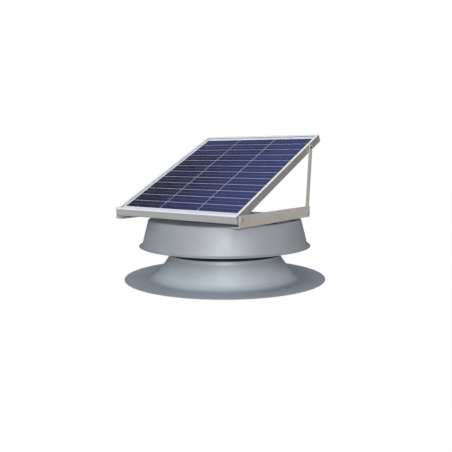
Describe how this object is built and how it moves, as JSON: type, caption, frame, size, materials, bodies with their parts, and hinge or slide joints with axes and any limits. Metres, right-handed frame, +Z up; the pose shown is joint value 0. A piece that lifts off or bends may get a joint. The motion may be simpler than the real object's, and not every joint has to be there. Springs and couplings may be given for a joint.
{
  "type": "solar ventilation fan",
  "caption": "Roof-mounted attic ventilator: spun flashing and shroud, motor-driven fan in the collar, and a framed solar panel that tilts on two rails with folding struts.",
  "frame": {"origin": "centre of the brim's underside, on the fan's axis", "axes": "+Z up along the fan's axis; the panel's low edge faces -Y and +X is to the right seen from that edge"},
  "size_m": [0.66, 0.66, 0.4686],
  "materials": {
    "spun_sheet": "satin",
    "screen_black": "satin",
    "zinc_steel": "zinc plated",
    "seal_rubber": "matt",
    "motor_paint": "satin",
    "cast_alloy": "cast",
    "motor_plastic": "moulded",
    "bearing_steel": "ground",
    "fan_sheet": "rolled sheet",
    "rail_metal": "mill finish",
    "frame_alloy": "clear anodised",
    "glass": "low iron, smooth",
    "silicon": "anti-reflective coating",
    "ribbon": "tinned",
    "backsheet": "smooth",
    "box_plastic": "moulded"
  },
  "bodies": {
    "root": {"flashing": "spun_sheet", "shroud": "spun_sheet", "guard_screen": "screen_black", "strap_front_right": "zinc_steel", "strap_rear_right": "zinc_steel", "strap_rear_left": "zinc_steel", "strap_front_left": "zinc_steel", "strap_rivets": "zinc_steel", "shroud_bolts": "zinc_steel", "shroud_washers": "seal_rubber", "shroud_nuts": "zinc_steel", "wire_grommet": "seal_rubber", "motor_bracket": "zinc_steel", "bracket_rivets": "zinc_steel", "motor_bell": "cast_alloy", "motor_can": "motor_paint", "motor_cap": "motor_plastic", "front_bearing": "bearing_steel", "rear_bearing": "bearing_steel", "motor_screws": "zinc_steel", "rail_left": "rail_metal", "rail_right": "rail_metal", "rail_pads": "seal_rubber", "rail_bolts": "zinc_steel", "rail_washers": "seal_rubber", "rail_nuts": "zinc_steel", "hinge_bolts": "zinc_steel", "hinge_spacers": "zinc_steel", "hinge_nuts": "zinc_steel", "pivot_rivets": "zinc_steel"},
    "fan": {"motor_shaft": "bearing_steel", "fan_hub": "cast_alloy", "fan_spider": "fan_sheet", "blade_1": "fan_sheet", "blade_2": "fan_sheet", "blade_3": "fan_sheet", "blade_4": "fan_sheet", "blade_5": "fan_sheet", "blade_rivets": "zinc_steel", "hub_screw": "zinc_steel"},
    "panel": {"frame_front": "frame_alloy", "frame_rear": "frame_alloy", "frame_left": "frame_alloy", "frame_right": "frame_alloy", "corner_keys": "frame_alloy", "glass": "glass", "cells": "silicon", "cell_ribbons": "ribbon", "backsheet": "backsheet", "junction_box": "box_plastic", "junction_lid": "box_plastic", "cable_gland": "box_plastic"},
    "left_strut": {"strut_left": "rail_metal", "strut_screw_left": "zinc_steel"},
    "right_strut": {"strut_right": "rail_metal", "strut_screw_right": "zinc_steel"}
  },
  "joints": [
    {"name": "fan_spin", "type": "hinge", "parent": "root", "child": "fan", "pos_m": [0, 0, 0.094], "axis": [0, 0, 1], "continuous": true},
    {"name": "panel_tilt", "type": "hinge", "parent": "root", "child": "panel", "pos_m": [0, -0.2473, 0.2248], "axis": [1, 0, 0], "range_deg": [-26.3, 0]},
    {"name": "left_strut_swing", "type": "hinge", "parent": "root", "child": "left_strut", "pos_m": [-0.2343, 0.13, 0.2148], "axis": [1, 0, 0], "range_deg": [0, 95.4]},
    {"name": "right_strut_swing", "type": "hinge", "parent": "root", "child": "right_strut", "pos_m": [0.2343, 0.13, 0.2148], "axis": [1, 0, 0], "range_deg": [0, 95.4]}
  ],
  "couplings": [
    {"joint": "left_strut_swing", "follows": "panel_tilt", "ratio": -3.627},
    {"joint": "right_strut_swing", "follows": "panel_tilt", "ratio": -3.627}
  ]
}
